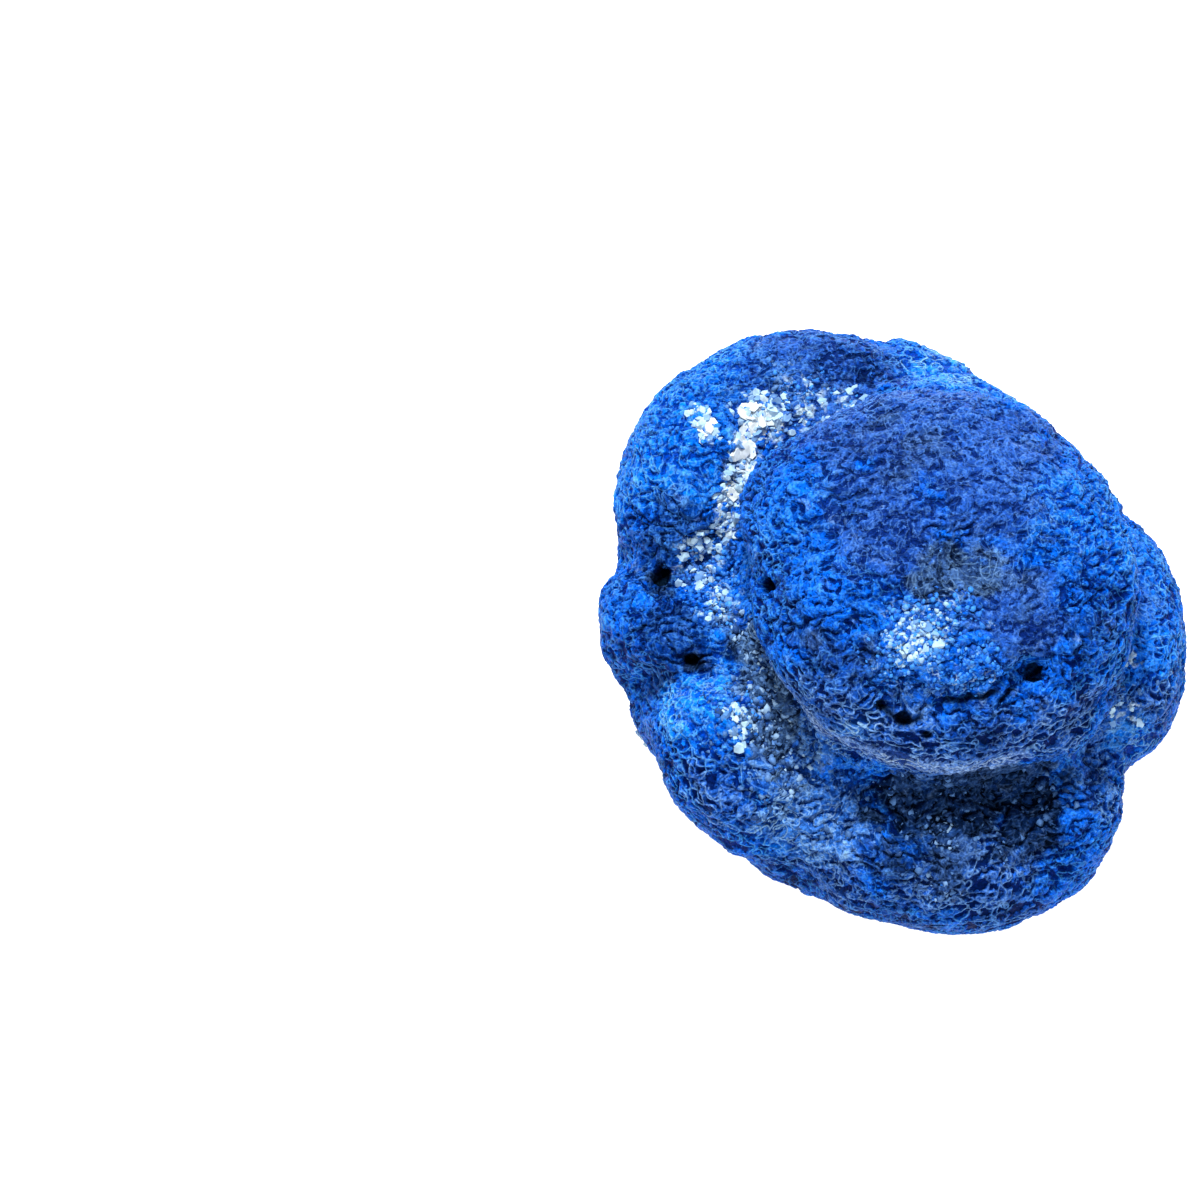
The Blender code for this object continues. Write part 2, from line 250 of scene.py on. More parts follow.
# How much each pattern raises the crust, in millimetres, and lightens it. The second number is the
# pattern's value that changes nothing. The lightening of raised folds, grains and lumps and the darkening
# of clefts are painted highlight and painted shade that follow the relief. The lump and grain tones are
# the stone's own random tone.
RAISES = {
    "fine": (0.10, 0.0), "broad": (0.12, 0.0), "hollow": (-0.20, 0.0), "cleft": (-0.14, 0.0),
    "grain": (0.10, 0.6), "bare_lump": (0.12, 0.0), "thread": (0.10, 0.0), "lump_tone": (0.10, 0.5),
    "grain_tone": (0.05, 0.5),
}
RELIEF_LIGHT_AND_TONE = {
    "fine": (0.20, 0.0), "broad": (0.16, 0.0), "cleft": (-0.20, 0.0), "grain": (0.16, 0.7),
    "lump": (0.14, 0.6), "lump_tone": (0.20, 0.5), "grain_tone": (0.24, 0.5),
}
WAVE_RISE = 0.22  # of the gentle waves under the patterns
VIOLET_CALM, WHITE_CALM = 0.35, 0.4  # how much weaker the patterns are in the violet and the white spots
FLANK_CALM = 0.4  # how much lower the relief is on the flanks
MIDDLE_TONE = 0.47  # how light the crust is where no pattern changes it

# The crust's zones of colour, painted in this order: tint, spots and the most that it covers. The hollow
# and dent zones are painted shade, as are the navy spots round the foot's lower edge.
ZONES = [
    (VIOLET, VIOLET_SPOTS, 0.95), (LAVENDER, LAVENDER_SPOTS, 0.85), (BRIGHT, BRIGHT_SPOTS, 0.75),
    (HAZE, HAZE_SPOTS, 0.85), (GLOW, GLOW_SPOTS, 0.95), (NAVY, NAVY_SPOTS, 0.9), (SLATE, SLATE_SPOTS, 0.9),
    (GREY, DENT_SHADE_SPOTS, 0.9), (GREY, GREY_SPOTS, 0.95), (HOLLOW_SHADE, HOLLOW_SHADE_SPOTS, 0.95),
]

# Single pale grains of the crust: tint, spots and how many of the grains there take it.
SPECKLES = [(SKY, BEAD_SPOTS, 0.7), (MILK, MILK_SPOTS, 1.3)]
# Painted shade: the crust is painted darker deep in a pit or a fold by this share.
SUNK_SHADE = 0.93  # how much darker the crust is deep in a pit or a fold

# Crystals that stand out of the crust: each piece's kind, where they grow and how thickly, how far apart
# they are, their least and greatest size, their tint, and how far dim ones prevail: at 0 all are pale.
EVERYWHERE = [(0.0, 0.0, 0.0, 1000.0)]
CRYSTALS = [
    ("white_plates", "plate", WHITE_SPOTS, 1.0, 0.8, 1.1, 1.9, WHITE, 0.1),
    ("pale_prisms", "block", MILK_SPOTS, 1.4, 0.8, 0.65, 1.15, MILK, 0.6),
    ("pale_grains", "grain", MILK_SPOTS, 1.2, 0.55, 0.45, 0.8, MILK, 0.7),
    ("sky_grains", "grain", MILK_SPOTS, 1.0, 0.55, 0.3, 0.6, SKY, 0.6),
    ("beads", "bead", BEAD_SPOTS, 1.0, 0.36, 0.3, 0.62, SKY, 0.9),
    ("dull_grains", "rough_bead", DULL_SPOTS, 1.5, 0.55, 0.3, 0.85, DULL, 1.1),
    ("sparkles", "grain", EVERYWHERE, 0.02, 0.9, 0.15, 0.3, SKY, 0.5),
]
CRYSTAL_SHADE = 1.15 * SHADE
CRYSTAL_ROUGHNESS = 0.4

# The crust's roughness, and how much smoother its pale crests are.
CRUST_ROUGHNESS, CREST_POLISH = 0.62, 0.25

# How far from its middle a thread starts to show, and where it shows in full.
THREAD_EDGES = (0.085, 0.03)

# How many features of fine noise the materials have to the metre.
STIPPLE, RAGGED_EDGES, FLECKS, CLOUDS = 4600.0, 3000.0, 2700.0, 1800.0

# The floor's side, and the lights: place, size and power.
FLOOR_SIDE = 2400.0
LIGHTS = {
    "window": ((-60.0, 300.0, 440.0), 120.0, 7.0),
    "fill": ((60.0, -420.0, 260.0), 240.0, 2.0),
}
SKY_STRENGTH = 0.7


# Repeatable random numbers and patterns, for many places at once.

# The grid behind the noise stands at an angle, so that its lines never run along the stone's own axes.
NOISE_TURN = np.array(Euler((0.7, 0.5, 0.9)).to_matrix())


def scramble(corner, seed):
    """A random number from 0 to 1 for each point of a grid of whole numbers."""
    mixed = (corner @ np.array([374761393, 668265263, 1442695041]) + seed * 1274126177) & 0xFFFFFFFF
    for shift, factor in ((13, 1274126177), (16, 2246822519)):
        mixed = ((mixed ^ (mixed >> shift)) * factor) & 0xFFFFFFFF
    return ((mixed ^ (mixed >> 15)) & 0xFFFFFF) / 0xFFFFFF


def smooth_noise(places, wavelength, seed):
    """Noise from -1 to 1."""
    at = places @ NOISE_TURN / wavelength
    low = np.floor(at).astype(np.int64)
    part = at - low
    part = part * part * (3 - 2 * part)
    total = 0.0
    for corner in itertools.product((0, 1), repeat=3):
        weight = np.where(corner, part, 1 - part).prod(axis=1)
        total = total + weight * scramble(low + np.array(corner), seed)
    return 2 * total - 1


def noise_vectors(places, wavelength, seed):
    """Three values of noise for each place."""
    return np.stack([smooth_noise(places, wavelength, seed + axis) for axis in range(3)], axis=1)


def moved(places, bends):
    """Places moved about by layers of soft noise."""
    new_places = places
    for reach, wavelength, seed in bends:
        new_places = new_places + reach * noise_vectors(places, wavelength, seed)
    return new_places


def cells(places, size, seed):
    """A pattern of cells, each round a seed point. Gives how much further the next seed point is than each
    place's own, in cell sizes, and a random number that the whole cell shares."""
    at = places / size
    low = np.floor(at).astype(np.int64)
    nearest = np.full(len(at), 9.0)
    second = np.full(len(at), 9.0)
    own = np.zeros(len(at))
    for step in itertools.product((-1, 0, 1), repeat=3):
        corner = low + np.array(step)
        gap = np.zeros(len(at))
        for axis in range(3):
            gap += (at[:, axis] - corner[:, axis] - scramble(corner, seed + axis)) ** 2
        gap = np.sqrt(gap)
        closer = gap < nearest
        second = np.where(closer, nearest, np.minimum(second, gap))
        own = np.where(closer, scramble(corner, seed + 3), own)
        nearest = np.where(closer, gap, nearest)
    return second - nearest, own


def ramp(value, low, high):
    """0 below low, 1 above high, and smooth between."""
    part = np.clip((value - low) / (high - low), 0, 1)
    return part * part * (3 - 2 * part)


def inside(places, spots, soft=0.5, ragged=0.35, grain=1.6):
    """How far each place is inside any of these spots, from 0 to 1 or to the spot's own most. Their edges
    are soft and ragged by these shares of the radius, and grain is the noise's wavelength."""
    edge = 1 + ragged * smooth_noise(places, grain, 91)
    weight = np.zeros(len(places))
    for x, y, z, radius, *own_most in spots:
        most = own_most[0] if own_most else 1
        away = np.linalg.norm(places - (x, y, z), axis=1) / radius
        weight = np.maximum(weight, most * (1 - ramp(away, edge * (1 - soft), edge * (1 + soft))))
    return weight


# The crust.

def new_object(name, mesh):
    made = bpy.data.objects.new(name, mesh)
    bpy.context.scene.collection.objects.link(made)
    return made


def rounded_form():
    """The CAD solid with its facets rounded off, finely divided: points and normals, and quads."""
    form = new_object("form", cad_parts[NODE].data.copy())
    remesh = form.modifiers.new("remesh", "REMESH")
    remesh.mode = "VOXEL"
    remesh.voxel_size = FORM_VOXEL * MM
    smooth = form.modifiers.new("smooth", "SMOOTH")
    smooth.iterations = FORM_SMOOTHING
    divide = form.modifiers.new("divide", "SUBSURF")
    divide.levels = FORM_LEVELS
    divide.render_levels = FORM_LEVELS
    mesh = bpy.data.meshes.new_from_object(form.evaluated_get(bpy.context.evaluated_depsgraph_get()))
    bpy.data.objects.remove(form)
    points = np.zeros(len(mesh.vertices) * 3, np.float32)
    mesh.vertices.foreach_get("co", points)
    normals = np.zeros(len(points), np.float32)
    mesh.vertices.foreach_get("normal", normals)
    quads = np.zeros(len(mesh.loops), np.int32)
    mesh.loops.foreach_get("vertex_index", quads)
    points = points.reshape(-1, 3).astype(float) / MM - MIDDLE
    return points, normals.reshape(-1, 3).astype(float), quads.reshape(-1, 4)


def from_line(places, points):
    """Each place's distance to a line through these points."""
    nearest = np.full(len(places), np.inf)
    for start, end in zip(points, points[1:]):
        start, along = np.array(start), np.array(end) - start
        part = np.clip((places - start) @ along / (along @ along), 0, 1)
        nearest = np.minimum(nearest, np.linalg.norm(places - start - part[:, None] * along, axis=1))
    return nearest


def round_axis(places, axis, radius):
    """Places as arc length round an upright axis, distance from it, and height."""
    across, along = places[:, 0] - axis[0], places[:, 1] - axis[1]
    return np.stack([np.arctan2(along, across) * radius, np.hypot(across, along), places[:, 2]], axis=1)


def laced(places, normals):
    """How far thin threads cover the crust here, from 0 to 1."""
    steep = 1 - ramp(normals[:, 2], 0.45, 0.92)
    lace = LACE_LEAST + LACE_STEEP * steep + LACE_VARIES * smooth_noise(places, 4.2, 51)
    lace = np.maximum(lace, LACE_SKIRT * inside(places, SKIRT_SPOTS))
    lace = np.maximum(lace, inside(places, LACE_SPOTS))
    return np.clip(lace * (1 - LACE_LOST * inside(places, HOLLOW_SHADE_SPOTS)), 0, 1)


def slope(value, points, quads):
    """How fast a value changes along the surface at each of its points, per millimetre."""
    total = np.zeros(len(points))
    count = np.zeros(len(points))
    for side in range(4):
        start, end = quads[:, side], quads[:, (side + 1) % 4]
        rise = ((value[end] - value[start]) / np.linalg.norm(points[end] - points[start], axis=1)) ** 2
        total += np.bincount(start, rise, len(points)) + np.bincount(end, rise, len(points))
        count += np.bincount(start, minlength=len(points)) + np.bincount(end, minlength=len(points))
    return np.sqrt(2 * total / count)


def thread_distances(points, normals, quads, bent, lace):
    """Two sets of thin winding threads over the crust: how far each point is from the nearest thread of
    each set, in millimetres. It is positive on one side of the thread and negative on the other."""
    skirt = inside(points, SKIRT_SPOTS, 0.3)
    steep = ramp(0.75 - normals[:, 2], 0.0, 0.4) * (1 - skirt)
    eased = 0.5 * points + 0.5 * bent
    on_knob = round_axis(eased, KNOB_AXIS, KNOB_RADIUS)
    on_side = round_axis(eased, BODY_AXIS, BODY_RADIUS)
    sets = []
    for seed, stretch in ((41, (0.5, 1.15, 1.0)), (42, (1.15, 0.6, 1.0))):
        net = (1 - skirt - steep) * smooth_noise(eased * stretch, FLAT_WAVE, seed)
        net += skirt * smooth_noise(on_knob * (0.75 * stretch[1], 1.0, 1.2), SKIRT_WAVE, seed)
        net += steep * smooth_noise(on_side * (0.8 * stretch[1], 0.9, 1.1), SIDE_WAVE, seed)
        curls = smooth_noise(bent * stretch, CURL_WAVE, seed + 5)
        field = lace * net + (1 - lace) * curls
        sets.append(field / (slope(field, points, quads) + 0.15))
    return np.stack(sets, axis=1)


def patterns(places, quads, bent, lace, threads):
    """The crust's patterns at each place, by name. The folds go from -1 to 1, the rest from 0 to 1, but gap
    is how far the place is inside a dark gap, in millimetres, where the crust is painted in shade."""
    lump_edge, lump_tone = cells(bent * (0.70, 1.15, 1.0), LUMP_SIZE, 21)
    grain_edge, grain_tone = cells(bent, GRAIN_SIZE, 31)
    cleft = (1 - ramp(lump_edge, 0.02, 0.20)) * ramp(smooth_noise(places, 1.9, 24), -0.5, 0.4)
    cleft *= 1 - 0.5 * lace
    fine = smooth_noise(bent * (0.65, 1.15, 1.0), FINE_WAVE, 27)
    broad = smooth_noise(bent * (0.62, 1.15, 1.0), BROAD_WAVE, 28)

    # Gaps open along winding creases and, where there is a net of threads, between them and in low folds.
    wound = smooth_noise(bent * (0.7, 1.2, 1.0), 0.8, 46) + 0.35 * smooth_noise(bent, 0.38, 47)
    crease = np.abs(wound) / (slope(wound, places, quads) + 0.3)
    crease_width = 0.15 * ramp(smooth_noise(bent, 0.85, 49), -0.55, 0.55) + 0.10 * cleft - 0.02
    folds = fine + 0.35 * broad - 0.3 * cleft
    low_fold = -(folds + 0.42) / (slope(folds, places, quads) + 0.5)
    away = np.abs(threads).min(axis=1)
    net_hole = away - 0.16 - 0.12 * smooth_noise(bent, 0.9, 52)
    netted = ramp(lace, 0.35, 0.65)
    gap = netted * (0.75 * net_hole + 0.25 * low_fold) + (1 - netted) * (crease_width - crease)
    lump = 1 - np.exp(-((crease / 0.22) ** 2))
    return {
        "fine": fine, "broad": broad, "cleft": cleft, "grain": ramp(grain_edge, 0.0, 0.5), "lump": lump,
        "bare_lump": (1 - netted) * (lump - 0.6), "thread": np.exp(-((away / 0.12) ** 2)) * lace,
        "gap": gap, "hollow": ramp(gap, -0.14, 0.08), "lump_tone": lump_tone, "grain_tone": grain_tone,
    }


def added_up(pattern, shares):
    """What these patterns add up to, each less the value that changes nothing and times its share."""
    return sum(share * (pattern[name] - neutral) for name, (share, neutral) in shares.items())


def nearest_point(points, place):
    return points[np.linalg.norm(points - place, axis=1).argmin()]


def marked(places, bent, height):
    """This height with the broad swellings, the pits and the sharp folds added, and how deep each place is
    in a pit or a fold, from 0 to 1."""
    for *place, radius, rise in SWELLS:
        height = height + rise * np.exp(-((np.linalg.norm(places - place, axis=1) / radius) ** 2))
    sunk = np.zeros(len(places))
    for *place, radius, depth in PITS:
        pit = 1 - ramp(np.linalg.norm(places - place, axis=1) / radius, 0.6, 1.0)
        height = height - depth * pit
        sunk = np.maximum(sunk, pit)
    eased = 0.5 * places + 0.5 * bent
    for line, width, depth in CRACKS:
        on_crust = [nearest_point(places, place) for place in line]
        crack = np.exp(-((from_line(eased, on_crust) / width) ** 2))
        height = height - depth * crack
        sunk = np.maximum(sunk, min(1.0, 1.6 * depth) * crack)
    return height, sunk


def crust_relief(places, normals, bent, pattern):
    """The crust's height over the form in millimetres, how light it is from 0 to 1, which is partly painted
    highlight and shade that follow the relief, and how deep each place is in a pit or a fold."""
    strength = 1 - VIOLET_CALM * inside(places, VIOLET_SPOTS) - WHITE_CALM * inside(places, WHITE_SPOTS)
    flank = 1 - FLANK_CALM * (1 - ramp(normals[:, 2], 0.0, 0.5))
    waves = WAVE_RISE * smooth_noise(places, 3.4, 71)
    height, sunk = marked(places, bent, flank * (strength * added_up(pattern, RAISES) + waves))
    # Painted highlight and shade that follow the relief, with the stone's own random tone.
    light = MIDDLE_TONE + added_up(pattern, RELIEF_LIGHT_AND_TONE) * (0.5 + 0.5 * strength)
    return height, np.clip(light, 0, 1), sunk


def linear(colour):
    """An sRGB colour in bytes as linear light."""
    part = np.array(colour, float) / 255
    return np.where(part <= 0.04045, part / 12.92, ((part + 0.055) / 1.055) ** 2.4)


def coloured(light, tint):
    """A tint's colour at each of these lightnesses, from its gaps' colour at 0 to its crests' at 1."""
    gap, mid, crest = (linear(tint[name]) for name in ("gap", "mid", "crest"))
    low_part = ramp(light, 0.05, 0.55)[:, None]
    top_part = ramp(light, 0.55, 1.0)[:, None]
    return (gap * (1 - low_part) + mid * low_part) * (1 - top_part) + crest * top_part


def tints_over(places, lump_tone, grain_tone):
    """The tints that lie over the crust's own, each with how much of it there is at each place. A zone's
    tint takes whole lumps, and the pale tints take single grains."""
    wavy = moved(places, ZONE_BENDS)
    tints = []
    for tint, spots, share in ZONES:
        zone = inside(wavy, spots) + 0.45 * (lump_tone - 0.5)
        tints.append((tint, share * ramp(zone, 0.15, 0.85)))
    for tint, spots, share in SPECKLES:
        tints.append((tint, ramp(share * inside(places, spots) - grain_tone, -0.05, 0.2)))
    rim = np.exp(-((from_line(places, RIM_LINE) / RIM_WIDTH) ** 2))
    tints.append((RIM, ramp(rim + 0.4 * (grain_tone - 0.5), 0.1, 0.8)))
    white = inside(places, WHITE_SPOTS, 0.25) - 0.5 * (grain_tone - 0.4)
    tints.append((WHITE, ramp(white, 0.3, 0.5)))
    return tints


def crust_colours(places, light, sunk, tints):
    """Three colours for each place: the crust's own, by how light it is, its threads' and its gaps'. The
    threads' colour is painted highlight and the gaps' painted shade, and all three are painted darker in
    shade deep in pits and folds.
    """
    light = np.clip(light + 0.08 * smooth_noise(places, 5.0, 87), 0, 1)
    # Painted shade deep in pits and folds.
    shade = SHADE * (1 - SUNK_SHADE * sunk[:, None])
    colours = {}
    for layer, level in (("tint", light), ("crest", np.ones(len(places))), ("gap", np.zeros(len(places)))):
        colour = coloured(level, AZURE)
        for tint, part in tints:
            colour = colour * (1 - part[:, None]) + coloured(level, tint) * part[:, None]
        colours[layer] = colour * shade
    return colours


def mesh_from(name, points, faces, smooth):
    """A mesh from points in millimetres and a list of face arrays, each with its own corner count."""
    mesh = bpy.data.meshes.new(name)
    corners = np.concatenate([group.ravel() for group in faces])
    counts = np.concatenate([np.full(len(group), group.shape[1]) for group in faces])
    mesh.vertices.add(len(points))
    mesh.vertices.foreach_set("co", ((points + MIDDLE) * MM).ravel())
    mesh.loops.add(len(corners))
    mesh.loops.foreach_set("vertex_index", corners)
    mesh.polygons.add(len(counts))
    mesh.polygons.foreach_set("loop_start", np.concatenate([[0], np.cumsum(counts)[:-1]]))
    mesh.polygons.foreach_set("use_smooth", smooth)
    mesh.update(calc_edges=True)
    return mesh


def paint(mesh, name, values):
    """Keeps up to four numbers for each point as a named attribute of the mesh."""
    padded = np.ones((len(values), 4))
    padded[:, :values.shape[1]] = values
    layer = mesh.attributes.new(name, "FLOAT_COLOR", "POINT")
    layer.data.foreach_set("color", padded.ravel())


def on_floor(points):
    """These points, with none of them lower than the floor."""
    return np.column_stack([points[:, :2], np.maximum(points[:, 2], -MIDDLE[2])])


def closing_faces(quads, count):
    """Triangles from the open edges of these quads to one more point, numbered count, which close them."""
    ends = np.concatenate([quads[:, [side, (side + 1) % 4]] for side in range(4)])
    ahead = ends[:, 0].astype(np.int64) * count + ends[:, 1]
    back = ends[:, 1].astype(np.int64) * count + ends[:, 0]
    open_ends = ends[~np.isin(ahead, back)]
    return np.column_stack([open_ends[:, 1], open_ends[:, 0], np.full(len(open_ends), count)])


def make_crust(points, quads, paints, material):
    """The crust's pieces, one to a region. Each is closed behind by faces to the nodule's heart."""
    centres = np.array(list(REGIONS.values()))
    middles = points[quads].mean(axis=1)
    region = np.linalg.norm(middles[:, None] - centres[None], axis=2).argmin(axis=1)
    pieces = []
    for index, name in enumerate(REGIONS):
        used, own = np.unique(quads[region == index], return_inverse=True)
        own = own.reshape(-1, 4)
        caps = closing_faces(own, len(used))
        smooth = np.arange(len(own) + len(caps)) < len(own)
        mesh = mesh_from(name, np.vstack([points[used], [HEART]]), [own, caps], smooth)
        for layer, values in paints.items():
            paint(mesh, layer, np.vstack([values[used], [values[used].mean(axis=0)]]))
        mesh.materials.append(material)
        pieces.append(new_object(name, mesh))
        print(name, "triangles:", 2 * len(own) + len(caps))
    return pieces


def grow_crust(points, normals, quads):
    """The crust's pieces over the form, and where its surface is over each of the form's points."""
    lace = laced(points, normals)
    bent = moved(points, CRUST_BENDS)
    threads = thread_distances(points, normals, quads, bent, lace)
    pattern = patterns(points, quads, bent, lace, threads)
    height, light, sunk = crust_relief(points, normals, bent, pattern)
    surface = on_floor(points + normals * height[:, None])
    roughness = CRUST_ROUGHNESS - CREST_POLISH * light
    shown_lace = lace * ramp(smooth_noise(points, 1.1, 57), -0.6, 0.3)
    tints = tints_over(points, pattern["lump_tone"], pattern["grain_tone"])
    paints = crust_colours(points, light, sunk, tints)
    # The third number is how far the place is inside a gap, which sets the painted shade there.
    paints["finish_and_gap_shade"] = np.column_stack([roughness, shown_lace, pattern["gap"]])
    paints["threads"] = threads
    return make_crust(surface, quads, paints, crust_material()), surface


# Crystals that stand out of the crust.

def grain_template():
    """A rough grain with twenty faces: points, and triangles that all face out."""
    golden = (1 + math.sqrt(5)) / 2
    points = np.array([
        (-1, golden, 0), (1, golden, 0), (-1, -golden, 0), (1, -golden, 0),
        (0, -1, golden), (0, 1, golden), (0, -1, -golden), (0, 1, -golden),
        (golden, 0, -1), (golden, 0, 1), (-golden, 0, -1), (-golden, 0, 1),
    ]) / math.sqrt(1 + golden ** 2)
    faces = [
        (0, 11, 5), (0, 5, 1), (0, 1, 7), (0, 7, 10), (0, 10, 11), (1, 5, 9), (5, 11, 4), (11, 10, 2),
        (10, 7, 6), (7, 1, 8), (3, 9, 4), (3, 4, 2), (3, 2, 6), (3, 6, 8), (3, 8, 9), (4, 9, 5),
        (2, 4, 11), (6, 2, 10), (8, 6, 7), (9, 8, 1),
    ]
    return points, np.array(faces)


def prism_template():
    """A stubby six-sided crystal that narrows to its flat top: points, and triangles that all face out."""
    turns = np.arange(6) * math.pi / 3
    ring = np.column_stack([np.cos(turns), np.sin(turns)])
    ends = [np.column_stack([ring * wide, np.full(6, high)]) for wide, high in ((1.0, -0.8), (0.8, 0.8))]
    faces = []
    for side in range(6):
        a, b = side, (side + 1) % 6
        faces += [(a, b, b + 6), (a, b + 6, a + 6)]
    faces += [(0, k + 1, k) for k in range(1, 5)] + [(6, 6 + k, 7 + k) for k in range(1, 5)]
    return np.vstack(ends), np.array(faces)


def turning_matrices(up, random):
    """One rotation for each direction, which takes +Z there and spins round it at random."""
    side = np.cross(up, random.normal(size=up.shape))
    side /= np.linalg.norm(side, axis=1)[:, None]
    return np.stack([side, np.cross(up, side), up], axis=2)


def crystal_kinds():
    """Each kind's template, how rough its shape is, whether it is smooth, how far it leans and how much of
    it is sunk."""
    prism, grain = prism_template(), grain_template()
    return {
        "plate": (prism, 0.10, False, 0.12, 0.36),
        "block": (prism, 0.14, False, 0.5, 0.26),
        "grain": (grain, 0.26, False, 0.5, 0.26),
        "bead": (grain, 0.2, True, 0.5, 0.26),
        "rough_bead": (grain, 0.32, True, 0.5, 0.38),
    }


def make_crystals(name, kind, at, up, sizes, colour, random):
    """Many crystals of one kind as one mesh: where each stands, which way it points, its size and its
    colour."""
    (template, faces), rough, smooth, lean, sunk = kind
    count, each = len(at), len(template)
    shapes = template[None] * (1 + rough * random.normal(size=(count, each, 3)).clip(-1.5, 1.5))
    shapes *= random.uniform(0.65, 1.25, (count, 1, 3))
    tilted = up + lean * random.normal(size=up.shape)
    tilted /= np.linalg.norm(tilted, axis=1)[:, None]
    turned = np.einsum("nij,nkj->nki", turning_matrices(tilted, random), shapes)
    at = at - sunk * up * sizes[:, None]
    points = on_floor((turned * (sizes / 2)[:, None, None] + at[:, None]).reshape(-1, 3))
    all_faces = (faces[None] + each * np.arange(count)[:, None, None]).reshape(-1, 3)
    mesh = mesh_from(name, points, [all_faces], np.full(len(all_faces), smooth))
    paint(mesh, "tint", np.repeat(colour, each, axis=0))
    mesh.materials.append(crystal_material(name))
    print(name, "crystals:", count, "triangles:", len(all_faces))
    return new_object(name, mesh)


def chosen(weights, spacing, points, random):
    """Indices of points picked at random by weight, about this far apart."""
    order = random.permutation(len(points))
    cell = np.floor(points[order] / spacing).astype(np.int64) @ np.array([1, 4096, 4096 * 4096])
    first = order[np.unique(cell, return_index=True)[1]]
    return first[random.random(len(first)) < weights[first]]


def grow_crystals(points, normals, surface):
    """The pieces of crystals, which stand on the crust's surface and point as the form's normals do."""
    random = np.random.default_rng(7)
    kinds = crystal_kinds()
    pieces = []
    for name, kind, spots, share, spacing, small, large, tint, dimness in CRYSTALS:
        weight = share * inside(points, spots)
        picked = chosen(weight, spacing, surface, random)
        span = 0.3 + 0.58 * weight[picked].clip(0, 1)
        light = 0.12 + span * random.random(len(picked)) ** dimness
        sizes = random.uniform(small, large, len(picked))
        colour = CRYSTAL_SHADE * coloured(light, tint)
        at, up = surface[picked], normals[picked]
        pieces.append(make_crystals(name, kinds[kind], at, up, sizes, colour, random))
    return pieces


# Materials.

def new_material(name):
    material = bpy.data.materials.new(name)
    material.use_nodes = True
    return material, material.node_tree.nodes, material.node_tree.links


def add_node(nodes, kind, **values):
    """A shader node with these settings; inputs are named with their spaces as underscores."""
    node = nodes.new(kind)
    for name, value in values.items():
        if hasattr(node, name):
            setattr(node, name, value)
        else:
            node.inputs[name.replace("_", " ")].default_value = value
    return node


def attribute(nodes, name):
    """A named attribute of the mesh."""
    return add_node(nodes, "ShaderNodeAttribute", attribute_name=name)


def numbers(nodes, links, name):
    """The three numbers of a named attribute of the mesh, as a list of sockets."""
    split = nodes.new("ShaderNodeSeparateXYZ")
    links.new(attribute(nodes, name).outputs["Vector"], split.inputs[0])
    return list(split.outputs)


def mottle(nodes, links, scale, detail, distortion=0.0):
    """Noise from 0 to 1 through the stone, this many times to the metre."""
    node = add_node(nodes, "ShaderNodeTexNoise", Scale=scale, Detail=detail, Distortion=distortion)
    links.new(nodes.new("ShaderNodeTexCoord").outputs["Object"], node.inputs["Vector"])
    return node.outputs["Fac"]


def mapped(nodes, links, value, low, high, bottom=0.0, top=1.0):
    """A shader value between two levels taken to 0 and 1, or to bottom and top."""
    node = add_node(nodes, "ShaderNodeMapRange", From_Min=low, From_Max=high, To_Min=bottom, To_Max=top)
    links.new(value, node.inputs["Value"])
    return node.outputs["Result"]


def worked(nodes, links, operation, *values):
    """The result of a shader's sum with one or two values, each a socket or a number."""
    node = add_node(nodes, "ShaderNodeMath", operation=operation)
    for index, value in enumerate(values):
        if isinstance(value, float):
            node.inputs[index].default_value = value
        else:
            links.new(value, node.inputs[index])
    return node.outputs["Value"]


def blended(nodes, links, part, first, second):
    """One colour blended into another by this part."""
    node = add_node(nodes, "ShaderNodeMix", data_type="RGBA", blend_type="MIX")
    links.new(part, node.inputs[0])
    links.new(first, node.inputs[6])
    links.new(second, node.inputs[7])
    return node.outputs[2]


def scaled(nodes, links, colour, factor):
    """A colour made lighter or darker."""
    node = add_node(nodes, "ShaderNodeVectorMath", operation="SCALE")
    links.new(colour, node.inputs[0])
    links.new(factor, node.inputs["Scale"])
    return node.outputs["Vector"]


def threads_shown(nodes, links, lace):
    """How much of a thread there is here: the nearer thread of the two sets, stronger where lace is."""
    first, second = numbers(nodes, links, "threads")[:2]
    first = worked(nodes, links, "ABSOLUTE", first)
    second = worked(nodes, links, "ABSOLUTE", second)
    thread = mapped(nodes, links, worked(nodes, links, "MINIMUM", first, second), *THREAD_EDGES)
    return worked(nodes, links, "MULTIPLY", thread, mapped(nodes, links, lace, 0.0, 0.8, 0.24, 0.82))


def gap_shade_shown(nodes, links, depth, speck, thread):
    """How much painted shade there is here, in a gap with ragged edges or in a dark speck. No gap crosses
    a thread.
    """
    ragged = mapped(nodes, links, mottle(nodes, links, RAGGED_EDGES, 1.0), 0.3, 0.7, -0.12, 0.12)
    gap = mapped(nodes, links, worked(nodes, links, "ADD", depth, ragged), -0.03, 0.04)
    gap = worked(nodes, links, "MAXIMUM", gap, speck)
    return worked(nodes, links, "MULTIPLY", gap, worked(nodes, links, "SUBTRACT", 1.0, thread))


